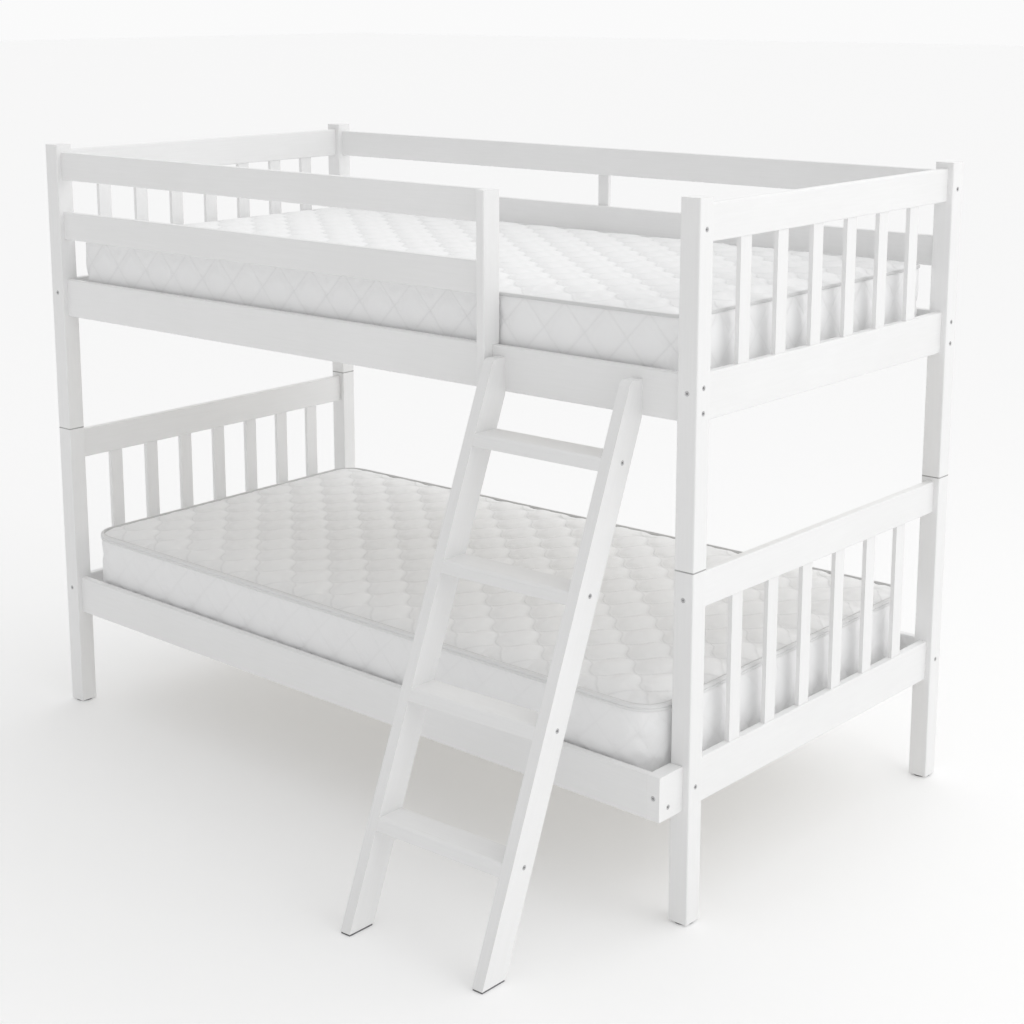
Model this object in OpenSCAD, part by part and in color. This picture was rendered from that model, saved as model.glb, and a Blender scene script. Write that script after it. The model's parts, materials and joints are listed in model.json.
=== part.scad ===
// Twin over twin bunk bed in painted wood: two frames stacked on steel pins, a slanted ladder with flat
// treads, front and back guards, slatted end panels, slatted decks and two mattresses.
// Millimetres, +Z up, +X along the bed towards the ladder end, -Y towards the ladder side.
// The origin lies on the floor, under the middle of the box around the bed and its ladder.

/* [Frame] */
// Length over the posts
frame_l = 2014; // [1990:1:2100]
// Depth over the posts
frame_w = 1042; // [1036:1:1090]
// Height of the upper post tops
frame_h = 1482; // [1478:1:1540]
// Side of the square posts
post_w = 46; // [44:1:50]
// Height of the joint between the lower and upper posts
joint_z = 748; // [746:1:780]
// Rounding of the long edges of posts, rails and boards
edge_r = 3; // [2:0.5:4]
// Height of the glides under the posts and the ladder
glide_h = 4; // [3:1:5]

/* [Rails and boards] */
// Thickness of every rail and board
board_t = 19; // [18:1:22]
// Height of the side rails and of the lower rail of each end panel
rail_h = 95; // [90:1:100]
// Height of the top rail of each end panel
cap_h = 75; // [70:1:76]
// Underside of the rails of the lower bunk
lower_rail_z = 250; // [240:1:256]
// Underside of the rails of the upper bunk
upper_rail_z = 1044; // [1040:1:1050]
// Underside of the top rail of the lower end panels
lower_cap_z = 663; // [655:1:668]
// Underside of the top rail of the upper end panels and of the upper guard boards
upper_cap_z = 1393; // [1390:1:1396]
// How far the lower front rail swings out at the ladder end
flare = 93; // [85:1:95]
// Length along the bed of the corner block that carries the flared end
block_w = 31; // [28:1:36]

/* [Guards] */
// Height of the guard boards
guard_h = 70; // [66:1:72]
// Underside of the middle guard boards
guard_mid_z = 1242; // [1236:1:1250]
// Middle of the front guard post along the bed
guard_post_x = 468; // [460:1:470]
// Width of the front guard post along the bed
guard_post_w = 22; // [20:1:24]
// Depth of the front guard post
guard_post_d = 51; // [48:1:51]
// How far the guard post stands in front of the bed's own posts
guard_post_proud = 14; // [12:1:15]
// Middle of the back stile along the bed
stile_x = -16; // [-60:1:60]

/* [End panel spindles] */
// Width of a spindle
spindle_w = 38; // [34:1:40]
// Thickness of a spindle
spindle_t = 10; // [8:1:12]
// Spindles in each panel at the ladder end
right_spindles = 6; // [5:1:6]
// Spacing of the spindles at the ladder end
right_pitch = 134; // [125:1:140]
// Spindles in each panel at the far end
left_spindles = 7; // [6:1:7]
// Spacing of the spindles at the far end
left_pitch = 120; // [110:1:124]

/* [Decks and mattresses] */
// Slats in each deck
slat_count = 14; // [12:1:14]
// Width of a deck slat
slat_w = 70; // [60:1:72]
// Thickness of a deck slat
slat_t = 16; // [14:1:18]
// How far the deck lies below the top of the rails
deck_drop = 42; // [40:1:44]
// Length of the mattresses
mattress_l = 1905; // [1880:1:1910]
// Width of the upper mattress
mattress_w = 965; // [950:1:966]
// Thickness of the upper mattress
upper_mattress_t = 150; // [140:1:160]
// Thickness of the lower mattress
lower_mattress_t = 164; // [150:1:170]
// Corner radius of the lower mattress in plan
lower_corner_r = 50; // [40:1:60]

/* [Ladder] */
// Middle of the ladder along the bed
ladder_x = 677.5; // [676:0.5:690]
// Distance over the outer faces of the stringers
ladder_w = 380; // [360:1:384]
// Thickness of a stringer
stringer_t = 26; // [24:1:28]
// Horizontal depth of a stringer
stringer_d = 69; // [62:1:72]
// Run of the ladder for each unit of its rise
ladder_run = 0.4; // [0.38:0.01:0.41]
// Height of the stringer tops
ladder_h = 1117; // [1105:1:1120]
// Top of the first tread
tread_z = 227; // [215:1:235]
// Spacing of the treads
tread_pitch = 248; // [240:1:250]
// Thickness of a tread
tread_t = 25; // [22:1:28]

/* [Hidden] */
$fn = 32;
// Half sizes over the posts, and the middles of the posts
half_l = frame_l / 2;
half_w = frame_w / 2;
post_x = half_l - post_w / 2;
post_y = half_w - post_w / 2;
inner_x = half_l - post_w;
inner_y = half_w - post_w;
// Side rails, boards and end rails are centred on the posts
rail_in = post_y - board_t / 2;
rail_out = post_y + board_t / 2;
// Side of each corner: [along X, along Y]
CORNERS = [[-1, -1], [1, -1], [-1, 1], [1, 1]];

// Stacking pins between the lower and upper posts
pin_r = 5;
pin_l = 60;
pin_clear = 0.3;
pin_hole = pin_l / 2 + 2;

// Connector bolts and their barrel nuts
head_r = 5.5;
head_h = 4;
head_sink = 0.6;
hex_d = 5;
hex_deep = 2.5;
shank_r = 3;
bolt_l = 92;
nut_r = 5;
nut_l = 15;
nut_in = 32;
// Heights of the bolts: side rails run along X, end rails along Y
upper_side_z = [upper_rail_z + 21, upper_rail_z + 71];
upper_end_z = upper_rail_z + 61;
lower_side_z = lower_rail_z + 48;
lower_end_z = [lower_rail_z + 66, lower_cap_z + 27];
// Bolts through the posts' tops, across the tenons of the upper end panels
cap_bolt_z = upper_cap_z + 28;
cap_bolt_l = 80;
cap_pin_l = 30;
corner_pin_l = 25;
hidden_pin_l = 40;
tenon_l = 30;
tenon_h = 50;

// Countersunk screws
screw_r = 2;
screw_head_r = 4;
screw_head_h = 3;

// Wooden dowels in the guard boards' ends
dowel_r = 4;
dowel_l = 36;

// Angle of the flared front rail of the lower bunk
flare_a = atan(flare / (2 * inner_x));
// Inner face of the flared rail at a place along the bed
function flare_in(x) = -rail_in - (x + inner_x) * tan(flare_a);

// Decks
upper_deck_z = upper_rail_z + rail_h - deck_drop;
lower_deck_z = lower_rail_z + rail_h - deck_drop;
cleat_t = 20;
cleat_h = 25;
cleat_end = inner_x - nut_in - 14;
slat_pitch = (2 * cleat_end - 18 - slat_w) / (slat_count - 1);
cleat_screws = 7;
cleat_screw_pitch = 280;
cleat_screw_l = 35;
slat_screw_l = 32;
mattress_gap = 5;

// Ladder, in the plane across the bed: front and back edges of a stringer at a height
ladder_face = -rail_out;
ladder_bend_z = ladder_h - 24;
ladder_foot = ladder_face - 47.5 - ladder_run * ladder_bend_z;
function ladder_front(z) = ladder_foot + ladder_run * z;
function ladder_back(z) = ladder_foot + stringer_d + ladder_run * z;
tread_count = 4;
tread_nose = 8;
TREADS = [for (i = [0 : tread_count - 1]) tread_z + i * tread_pitch];
stringer_x = ladder_w / 2 - stringer_t / 2;
ladder_bolt_l = 70;
mount_bolt_l = 50;
// The upper bolt clears the deck, and the lower one is reached through a hole in the cleat
mount_bolt_z = [upper_deck_z + 8, upper_deck_z - slat_t - cleat_h / 2];
access_r = 6.5;

// Moves the posts' middle so that the origin is under the middle of the whole box
shift_y = (-ladder_front(glide_h) - half_w) / 2;

white = "whitesmoke";
steel = "silver";

// ---------- shared shapes ----------

// Rectangle with rounded corners, centred
module rounded(w, h, r = edge_r) {
    square([w - 2 * r, h], center = true);
    square([w, h - 2 * r], center = true);
    for (sx = [-1, 1], sy = [-1, 1])
        translate([sx * (w / 2 - r), sy * (h / 2 - r)]) circle(r);
}

// Board along X from x0 to x1, centred on y, with its underside at z
module bar_x(x0, x1, y, z, h, t = board_t)
    translate([x0, y, z + h / 2]) rotate([90, 0, 90]) linear_extrude(x1 - x0) rounded(t, h);

// Board along Y from y0 to y1, centred on x, with its underside at z
module bar_y(y0, y1, x, z, h, t = board_t)
    translate([x, y1, z + h / 2]) rotate([90, 0, 0]) linear_extrude(y1 - y0) rounded(t, h);

// Turns a fastener that points along +Z into one that points along X or Y on the given side
module aim_x(s) rotate([0, s * 90, 0]) children();
module aim_y(s) rotate([-s * 90, 0, 0]) children();

// Bolt whose head is sunk in the surface at z = 0, running along +Z
module bolt(l) difference() {
    union() {
        translate([0, 0, head_sink]) cylinder(h = head_h, r = head_r);
        cylinder(h = l, r = shank_r);
    }
    translate([0, 0, -head_sink]) cylinder(h = 2 * head_sink, r = head_r);
    cylinder(h = head_sink + hex_deep, d = hex_d, $fn = 6);
}

// Hole that the bolt fills
module bolt_hole(l) {
    translate([0, 0, -1]) cylinder(h = head_sink + head_h + 1, r = head_r);
    cylinder(h = l, r = shank_r);
}

// Countersunk screw from the surface at z = 0, running along +Z, and its hole
module screw(l) {
    cylinder(h = screw_head_h, r1 = screw_head_r, r2 = screw_r);
    cylinder(h = l, r = screw_r);
}

// Everything is drawn about the posts' middle, then moved to the origin
module placed() translate([0, shift_y, 0]) children();

// ---------- fasteners at the corners, used both as parts and as holes ----------

// Along X through a post's outer face
module from_end(c, z) translate([c[0] * half_l, c[1] * post_y, z]) aim_x(-c[0]) children();

// Along Y through a post's outer face
module from_side(c, z) translate([c[0] * post_x, c[1] * half_w, z]) aim_y(-c[1]) children();

// The ladder-side corner of the lower bunk has no side rail behind its end face
function flared(c) = c[0] > 0 && c[1] < 0;

// The top rail meets the far ladder-side post on a hidden pin in place of a bolt
function pinned(c, z) = c[0] < 0 && c[1] < 0 && z == lower_end_z[1];
module hidden_pin() translate([0, 0, post_w - hidden_pin_l / 2]) cylinder(h = hidden_pin_l, r = shank_r);

module lower_corner(c) {
    from_end(c, lower_side_z) corner_fastener(flared(c) ? corner_pin_l : bolt_l);
    for (z = lower_end_z) from_side(c, z) {
        if (pinned(c, z)) hidden_pin();
        if (!pinned(c, z)) corner_fastener(bolt_l);
    }
}

module upper_corner(c) {
    for (z = upper_side_z) from_end(c, z) corner_fastener(bolt_l);
    from_side(c, upper_end_z) corner_fastener(bolt_l);
}

module cap_corner(c) from_end(c, cap_bolt_z) corner_fastener(flared(c) ? cap_pin_l : cap_bolt_l);

// One shape for the part and for its hole, chosen by the caller
$as_hole = false;
module corner_fastener(l) if ($as_hole) bolt_hole(l); else bolt(l);

// Barrel nuts in the rail ends, entered from a side rail's inner face and an end rail's far face
module side_nut(c, z) translate([c[0] * (inner_x - nut_in), c[1] * rail_in, z]) aim_y(c[1]) nut();
module end_nut(c, z)
    translate([c[0] * post_x - board_t / 2, c[1] * (inner_y - nut_in), z]) aim_x(1) nut();

module nut() if ($as_hole) translate([0, 0, -1]) cylinder(h = nut_l + 1, r = nut_r);
    else cylinder(h = nut_l, r = nut_r);

module lower_nuts(c) {
    if (!flared(c)) side_nut(c, lower_side_z);
    for (z = lower_end_z) if (!pinned(c, z)) end_nut(c, z);
}

module upper_nuts(c) {
    for (z = upper_side_z) side_nut(c, z);
    end_nut(c, upper_end_z);
}

// ---------- posts and glides ----------

module post(c, z0, z1) translate([c[0] * post_x, c[1] * post_y, z0])
    linear_extrude(z1 - z0) rounded(post_w, post_w);

module lower_post(c) color(white) placed() difference() {
    post(c, glide_h, joint_z);
    lower_corner(c, $as_hole = true);
    translate([c[0] * post_x, c[1] * post_y, joint_z - pin_hole]) cylinder(h = pin_hole + 1, r = pin_r);
    if (flared(c)) block_bolts($as_hole = true);
}

module upper_post(c) color(white) placed() difference() {
    post(c, joint_z, frame_h);
    upper_corner(c, $as_hole = true);
    cap_corner(c, $as_hole = true);
    upper_cap(c[0]);
    if (!flared(c)) guard_dowel_set($as_hole = true);
    translate([c[0] * post_x, c[1] * post_y, joint_z - 1])
        cylinder(h = pin_hole + 1, r = pin_r + pin_clear);
}

module lower_post_front_left() lower_post([-1, -1]);
module lower_post_front_right() lower_post([1, -1]);
module lower_post_back_left() lower_post([-1, 1]);
module lower_post_back_right() lower_post([1, 1]);
module upper_post_front_left() upper_post([-1, -1]);
module upper_post_front_right() upper_post([1, -1]);
module upper_post_back_left() upper_post([-1, 1]);
module upper_post_back_right() upper_post([1, 1]);

module post_glides() color("dimgray") placed() for (c = CORNERS)
    translate([c[0] * post_x, c[1] * post_y, 0]) cylinder(h = glide_h, r = post_w / 2 - 3);

module stacking_pins() color(steel) placed() for (c = CORNERS)
    translate([c[0] * post_x, c[1] * post_y, joint_z - pin_l / 2]) {
        cylinder(h = pin_l - 2, r = pin_r);
        translate([0, 0, pin_l - 2]) cylinder(h = 2, r1 = pin_r, r2 = pin_r - 1.5);
    }

// ---------- end panels ----------

// Top rail of an upper end panel, with a tenon into each post
module upper_cap(sx) {
    bar_y(-inner_y, inner_y, sx * post_x, upper_cap_z, cap_h);
    translate([sx * post_x, 0, upper_cap_z + cap_h / 2])
        cube([spindle_t, 2 * (inner_y + tenon_l), tenon_h], center = true);
}

module upper_cap_rail(sx) color(white) placed() difference() {
    upper_cap(sx);
    for (sy = [-1, 1]) cap_corner([sx, sy], $as_hole = true);
    panel_spindles(sx, upper_rail_z, upper_cap_z);
}

module end_rail(sx, z, upper) color(white) placed() difference() {
    bar_y(-inner_y, inner_y, sx * post_x, z, z == lower_cap_z ? cap_h : rail_h);
    for (sy = [-1, 1]) {
        if (upper) upper_corner([sx, sy], $as_hole = true);
        if (upper) upper_nuts([sx, sy], $as_hole = true);
        if (!upper) lower_corner([sx, sy], $as_hole = true);
        if (!upper) lower_nuts([sx, sy], $as_hole = true);
    }
    if (upper) panel_spindles(sx, upper_rail_z, upper_cap_z);
    if (!upper) panel_spindles(sx, lower_rail_z, lower_cap_z);
}

module lower_left_cap_rail() end_rail(-1, lower_cap_z, false);
module lower_left_end_rail() end_rail(-1, lower_rail_z, false);
module lower_right_cap_rail() end_rail(1, lower_cap_z, false);
module lower_right_end_rail() end_rail(1, lower_rail_z, false);
module upper_left_cap_rail() upper_cap_rail(-1);
module upper_left_end_rail() end_rail(-1, upper_rail_z, true);
module upper_right_cap_rail() upper_cap_rail(1);
module upper_right_end_rail() end_rail(1, upper_rail_z, true);

// Spindles between an end rail and its top rail, let into both
spindle_let = 8;
module panel_spindles(sx, rail_z, cap_z) {
    n = sx > 0 ? right_spindles : left_spindles;
    pitch = sx > 0 ? right_pitch : left_pitch;
    z0 = rail_z + rail_h - spindle_let;
    h = cap_z + spindle_let - z0;
    for (i = [0 : n - 1])
        translate([sx * post_x, (i - (n - 1) / 2) * pitch, z0 + h / 2])
            cube([spindle_t, spindle_w, h], center = true);
}

module lower_left_spindles() color(white) placed() panel_spindles(-1, lower_rail_z, lower_cap_z);
module lower_right_spindles() color(white) placed() panel_spindles(1, lower_rail_z, lower_cap_z);
module upper_left_spindles() color(white) placed() panel_spindles(-1, upper_rail_z, upper_cap_z);
module upper_right_spindles() color(white) placed() panel_spindles(1, upper_rail_z, upper_cap_z);

// ---------- side rails ----------

module lower_back_rail() color(white) placed() difference() {
    bar_x(-inner_x, inner_x, post_y, lower_rail_z, rail_h);
    for (sx = [-1, 1]) {
        lower_corner([sx, 1], $as_hole = true);
        lower_nuts([sx, 1], $as_hole = true);
    }
    cleat_screw_set(1, lower_deck_z);
}

module upper_back_rail() color(white) placed() difference() {
    bar_x(-inner_x, inner_x, post_y, upper_rail_z, rail_h);
    for (sx = [-1, 1]) {
        upper_corner([sx, 1], $as_hole = true);
        upper_nuts([sx, 1], $as_hole = true);
    }
    cleat_screw_set(1, upper_deck_z);
    guard_screw_set();
}

module upper_front_rail() color(white) placed() difference() {
    bar_x(-inner_x, inner_x, -post_y, upper_rail_z, rail_h);
    for (sx = [-1, 1]) {
        upper_corner([sx, -1], $as_hole = true);
        upper_nuts([sx, -1], $as_hole = true);
    }
    cleat_screw_set(-1, upper_deck_z);
    guard_screw_set();
    mount_bolt_set($as_hole = true);
}

// Turns a straight front piece about the far end of the rail's inner face
module along_flare() translate([-inner_x, -rail_in, 0]) rotate([0, 0, -flare_a])
    translate([inner_x, rail_in, 0]) children();

// Keeps what lies between two places along the bed
module between(x0, x1) intersection() {
    children();
    translate([x0, -frame_w, 0]) cube([x1 - x0, 2 * frame_w, frame_h]);
}

module lower_front_rail() color(white) placed() difference() {
    between(-inner_x, inner_x) along_flare()
        bar_x(-inner_x - 5, inner_x + 5, -post_y, lower_rail_z, rail_h);
    lower_corner([-1, -1], $as_hole = true);
    lower_nuts([-1, -1], $as_hole = true);
    along_flare() cleat_screw_set(-1, lower_deck_z);
}

// Block on the ladder-side post's front face that holds the flared rail's end
block_out = rail_out + flare;
module corner_block() color(white) placed() difference() {
    bar_x(inner_x, inner_x + block_w, -(half_w + block_out) / 2, lower_rail_z, rail_h,
        t = block_out - half_w);
    block_bolts($as_hole = true);
}

// One bolt back into the post, one along the bed into the end of the front cleat
block_front_bolt_l = block_out - half_w + 26;
block_end_bolt_l = 75;
module block_bolts() {
    translate([inner_x + block_w / 2, -block_out, lower_side_z]) aim_y(1)
        corner_fastener(block_front_bolt_l);
    cleat_z = lower_deck_z - slat_t - cleat_h / 2;
    translate([inner_x + block_w, flare_in(inner_x) + cleat_t / 2 + 1, cleat_z])
        aim_x(-1) corner_fastener(block_end_bolt_l);
}

module corner_block_bolts() color(steel) placed() block_bolts();

// ---------- cleats and slatted decks ----------

cleat_y = rail_in - cleat_t / 2;
module cleat(sy, deck_z) translate([0, sy * cleat_y, deck_z - slat_t - cleat_h / 2])
    cube([2 * cleat_end, cleat_t, cleat_h], center = true);

module cleat_screw_set(sy, deck_z) for (i = [0 : cleat_screws - 1])
    translate([(i - (cleat_screws - 1) / 2) * cleat_screw_pitch, sy * (rail_in - cleat_t),
        deck_z - slat_t - cleat_h / 2]) aim_y(sy) screw(cleat_screw_l);

function slat_at(i) = (i - (slat_count - 1) / 2) * slat_pitch;

// Inner face of the front rail at a slat's far edge, for the straight and the flared rail
function slat_front(i, is_flared) = is_flared ? flare_in(slat_at(i) - slat_w / 2) : -rail_in;

module deck_slats(deck_z, is_flared) for (i = [0 : slat_count - 1]) {
    y0 = slat_front(i, is_flared) + 1;
    translate([slat_at(i) - slat_w / 2, y0, deck_z - slat_t]) cube([slat_w, rail_in - 1 - y0, slat_t]);
}

module deck_screw_set(deck_z, is_flared) for (i = [0 : slat_count - 1])
    for (y = [slat_front(i, is_flared) + cleat_t / 2, rail_in - cleat_t / 2])
        translate([slat_at(i), y, deck_z]) rotate([180, 0, 0]) screw(slat_screw_l);

module lower_front_cleat() color(white) placed() difference() {
    between(-cleat_end, inner_x) along_flare() translate([inner_x - cleat_end + 5, 0, 0])
        cleat(-1, lower_deck_z);
    along_flare() cleat_screw_set(-1, lower_deck_z);
    deck_screw_set(lower_deck_z, true);
    block_bolts($as_hole = true);
}

module straight_cleat(sy, deck_z, is_flared) color(white) placed() difference() {
    cleat(sy, deck_z);
    cleat_screw_set(sy, deck_z);
    deck_screw_set(deck_z, is_flared);
}

module lower_back_cleat() straight_cleat(1, lower_deck_z, true);
module upper_front_cleat() difference() {
    straight_cleat(-1, upper_deck_z, false);
    placed() for (sx = [-1, 1]) translate([ladder_x + sx * stringer_x, -rail_in - 1, mount_bolt_z[1]])
        aim_y(1) cylinder(h = cleat_t + 2, r = access_r);
}
module upper_back_cleat() straight_cleat(1, upper_deck_z, false);

module lower_deck_slats() color("burlywood") placed() difference() {
    deck_slats(lower_deck_z, true);
    deck_screw_set(lower_deck_z, true);
}

module upper_deck_slats() color("burlywood") placed() difference() {
    deck_slats(upper_deck_z, false);
    deck_screw_set(upper_deck_z, false);
}

module lower_deck_screws() color(steel) placed() {
    deck_screw_set(lower_deck_z, true);
    cleat_screw_set(1, lower_deck_z);
    along_flare() cleat_screw_set(-1, lower_deck_z);
}

module upper_deck_screws() color(steel) placed() {
    deck_screw_set(upper_deck_z, false);
    for (sy = [-1, 1]) cleat_screw_set(sy, upper_deck_z);
}

// ---------- frame fasteners ----------

module lower_bolts() color(steel) placed() for (c = CORNERS) lower_corner(c);
module upper_bolts() color(steel) placed() for (c = CORNERS) upper_corner(c);
module cap_bolts() color(steel) placed() for (c = CORNERS) cap_corner(c);

module lower_barrel_nuts() color(steel) placed() difference() {
    for (c = CORNERS) lower_nuts(c);
    for (c = CORNERS) lower_corner(c, $as_hole = true);
}

module upper_barrel_nuts() color(steel) placed() difference() {
    for (c = CORNERS) upper_nuts(c);
    for (c = CORNERS) upper_corner(c, $as_hole = true);
}

// ---------- guards ----------

guard_post_x0 = guard_post_x - guard_post_w / 2;
guard_post_y0 = -half_w - guard_post_proud;
guard_post_top = upper_cap_z + guard_h;
stile_w = 34;
stile_t = 13;
stile_z0 = upper_rail_z + 10;
stile_z1 = guard_post_top - 12;

// Dowels in the far ends of the middle boards and in the guard post's side
module guard_dowel_set() {
    mid_z = guard_mid_z + guard_h / 2;
    for (c = [[-1, -1], [-1, 1], [1, 1]]) guard_dowel(c[0] * inner_x, c[1] * post_y, mid_z);
    for (z = [mid_z, guard_post_top - guard_h / 2]) guard_dowel(guard_post_x0, -post_y, z);
}

module guard_dowel(x, y, z) translate([x - dowel_l / 2, y, z]) rotate([0, 90, 0])
    cylinder(h = dowel_l, r = dowel_r);

module guard_dowels() color("burlywood") placed() guard_dowel_set();

module front_board(z) color(white) placed() difference() {
    bar_x(-inner_x, guard_post_x0, -post_y, z, guard_h);
    cap_corner([-1, -1], $as_hole = true);
    guard_dowel_set();
}

module back_board(z) color(white) placed() difference() {
    bar_x(-inner_x, inner_x, post_y, z, guard_h);
    for (sx = [-1, 1]) cap_corner([sx, 1], $as_hole = true);
    guard_dowel_set();
    guard_screw_set();
}

module guard_top_board() front_board(upper_cap_z);
module guard_middle_board() front_board(guard_mid_z);
module back_guard_top_board() back_board(upper_cap_z);
module back_guard_middle_board() back_board(guard_mid_z);

// The post laps the rail's front face, and its back half stands on the rail's top edge
module guard_post() color(white) placed() difference() {
    translate([guard_post_x, guard_post_y0 + guard_post_d / 2, upper_rail_z])
        linear_extrude(guard_post_top - upper_rail_z) rounded(guard_post_w, guard_post_d);
    translate([guard_post_x - guard_post_w, ladder_face, upper_rail_z - 1])
        cube([2 * guard_post_w, guard_post_d, rail_h + 1]);
    guard_dowel_set();
    guard_screw_set();
}

module back_guard_stile() color(white) placed() difference() {
    translate([stile_x, rail_out + stile_t / 2, stile_z0])
        linear_extrude(stile_z1 - stile_z0) rounded(stile_w, stile_t);
    guard_screw_set();
}

// Screws through the front rail into the guard post, and through the stile into boards and rail
guard_screw_l = 38;
stile_screw_l = 28;
module guard_screw_set() {
    for (z = [upper_rail_z + 24, upper_rail_z + 72])
        translate([guard_post_x, -rail_in, z]) aim_y(-1) screw(guard_screw_l);
    for (z = [upper_rail_z + rail_h / 2, guard_mid_z + guard_h / 2, upper_cap_z + guard_h / 2])
        translate([stile_x, rail_out + stile_t, z]) aim_y(-1) screw(stile_screw_l);
}

module guard_screws() color(steel) placed() guard_screw_set();

// ---------- ladder ----------

// Side outline of a stringer, drawn with Y to the right and Z up
top_r = 18;
module stringer_outline() {
    lean_a = atan(ladder_run);
    // Centre of the rounding that joins the front edge to the top
    cz = ladder_h - top_r;
    cy = ladder_front(cz) + top_r / cos(lean_a);
    polygon([
        [ladder_front(glide_h), glide_h],
        [ladder_back(glide_h), glide_h],
        [ladder_face, (ladder_face - ladder_foot - stringer_d) / ladder_run],
        [ladder_face, ladder_h],
        [cy, ladder_h],
        [cy - top_r * cos(lean_a), cz + top_r * sin(lean_a)]
    ]);
    translate([cy, cz]) circle(top_r);
}

module stringer(sx) color(white) placed() difference() {
    translate([ladder_x + sx * stringer_x - stringer_t / 2, 0, 0]) rotate([90, 0, 90])
        linear_extrude(stringer_t) stringer_outline();
    ladder_bolt_set($as_hole = true);
    mount_bolt_set($as_hole = true);
}

module ladder_left_stringer() stringer(-1);
module ladder_right_stringer() stringer(1);

// Flat tread between the stringers, with a rounded nose
module tread(z) color(white) placed() difference() {
    translate([ladder_x - ladder_w / 2 + stringer_t, 0, 0]) rotate([90, 0, 90])
        linear_extrude(ladder_w - 2 * stringer_t) {
            polygon([
                [ladder_front(z - tread_t), z - tread_t],
                [ladder_back(z) - 4, z - tread_t],
                [ladder_back(z) - 4, z],
                [ladder_front(z) + tread_nose, z],
                [ladder_front(z - tread_nose), z - tread_nose]
            ]);
            translate([ladder_front(z - tread_nose) + tread_nose, z - tread_nose]) circle(tread_nose);
        }
    ladder_bolt_set($as_hole = true);
}

module ladder_tread_1() tread(TREADS[0]);
module ladder_tread_2() tread(TREADS[1]);
module ladder_tread_3() tread(TREADS[2]);
module ladder_tread_4() tread(TREADS[3]);

// Bolts through the stringers' outer faces into the tread ends
module ladder_bolt_set() for (z = TREADS, sx = [-1, 1])
    translate([ladder_x + sx * ladder_w / 2, ladder_front(z) + stringer_d / 2, z - tread_t / 2])
        aim_x(-sx) corner_fastener(ladder_bolt_l);

// Bolts through the upper front rail into the stringers' upright faces
module mount_bolt_set() for (z = mount_bolt_z, sx = [-1, 1])
    translate([ladder_x + sx * stringer_x, -rail_in, z]) aim_y(-1) corner_fastener(mount_bolt_l);

module ladder_bolts() color(steel) placed() ladder_bolt_set();
module ladder_mount_bolts() color(steel) placed() mount_bolt_set();

module ladder_foot_pads() color("dimgray") placed() for (sx = [-1, 1])
    translate([ladder_x + sx * stringer_x - stringer_t / 2 + 1, ladder_front(0) + 3, 0])
        cube([stringer_t - 2, stringer_d - 4, glide_h]);

// ---------- mattresses ----------

module upper_mattress() color("white") placed() translate([0, 0, upper_deck_z])
    linear_extrude(upper_mattress_t) rounded(mattress_l, mattress_w, 25);

// The lower mattress follows the flared front rail
module lower_mattress() color("white") placed() translate([0, 0, lower_deck_z])
    linear_extrude(lower_mattress_t) {
        x1 = mattress_l / 2;
        y1 = mattress_w / 2;
        r = lower_corner_r;
        // Corner circles just touch the slanted front edge
        c = [
            [-x1 + r, flare_in(-x1 + r) + mattress_gap + r / cos(flare_a)],
            [x1 - r, flare_in(x1 - r) + mattress_gap + r / cos(flare_a)],
            [x1 - r, y1 - r],
            [-x1 + r, y1 - r]
        ];
        s = [sin(flare_a) * r, cos(flare_a) * r];
        polygon([
            c[0] - s, c[1] - s, c[1] + [r, 0], c[2] + [r, 0], c[2] + [0, r], c[3] + [0, r],
            c[3] - [r, 0], c[0] - [r, 0]
        ]);
        for (p = c) translate(p) circle(r);
    }

lower_post_front_left();
lower_post_front_right();
lower_post_back_left();
lower_post_back_right();
lower_left_cap_rail();
lower_left_end_rail();
lower_right_cap_rail();
lower_right_end_rail();
lower_left_spindles();
lower_right_spindles();
lower_front_rail();
lower_back_rail();
corner_block();
lower_front_cleat();
lower_back_cleat();
lower_deck_slats();
lower_deck_screws();
post_glides();
stacking_pins();
lower_bolts();
lower_barrel_nuts();
corner_block_bolts();
upper_post_front_left();
upper_post_front_right();
upper_post_back_left();
upper_post_back_right();
upper_left_cap_rail();
upper_left_end_rail();
upper_right_cap_rail();
upper_right_end_rail();
upper_left_spindles();
upper_right_spindles();
upper_front_rail();
upper_back_rail();
upper_front_cleat();
upper_back_cleat();
upper_deck_slats();
upper_deck_screws();
upper_bolts();
upper_barrel_nuts();
cap_bolts();
guard_top_board();
guard_middle_board();
guard_post();
back_guard_top_board();
back_guard_middle_board();
back_guard_stile();
guard_dowels();
guard_screws();
ladder_left_stringer();
ladder_right_stringer();
ladder_tread_1();
ladder_tread_2();
ladder_tread_3();
ladder_tread_4();
ladder_bolts();
ladder_mount_bolts();
ladder_foot_pads();
upper_mattress();
lower_mattress();
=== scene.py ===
import json
import math

import bpy
import numpy as np
from mathutils import Matrix, Vector


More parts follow.
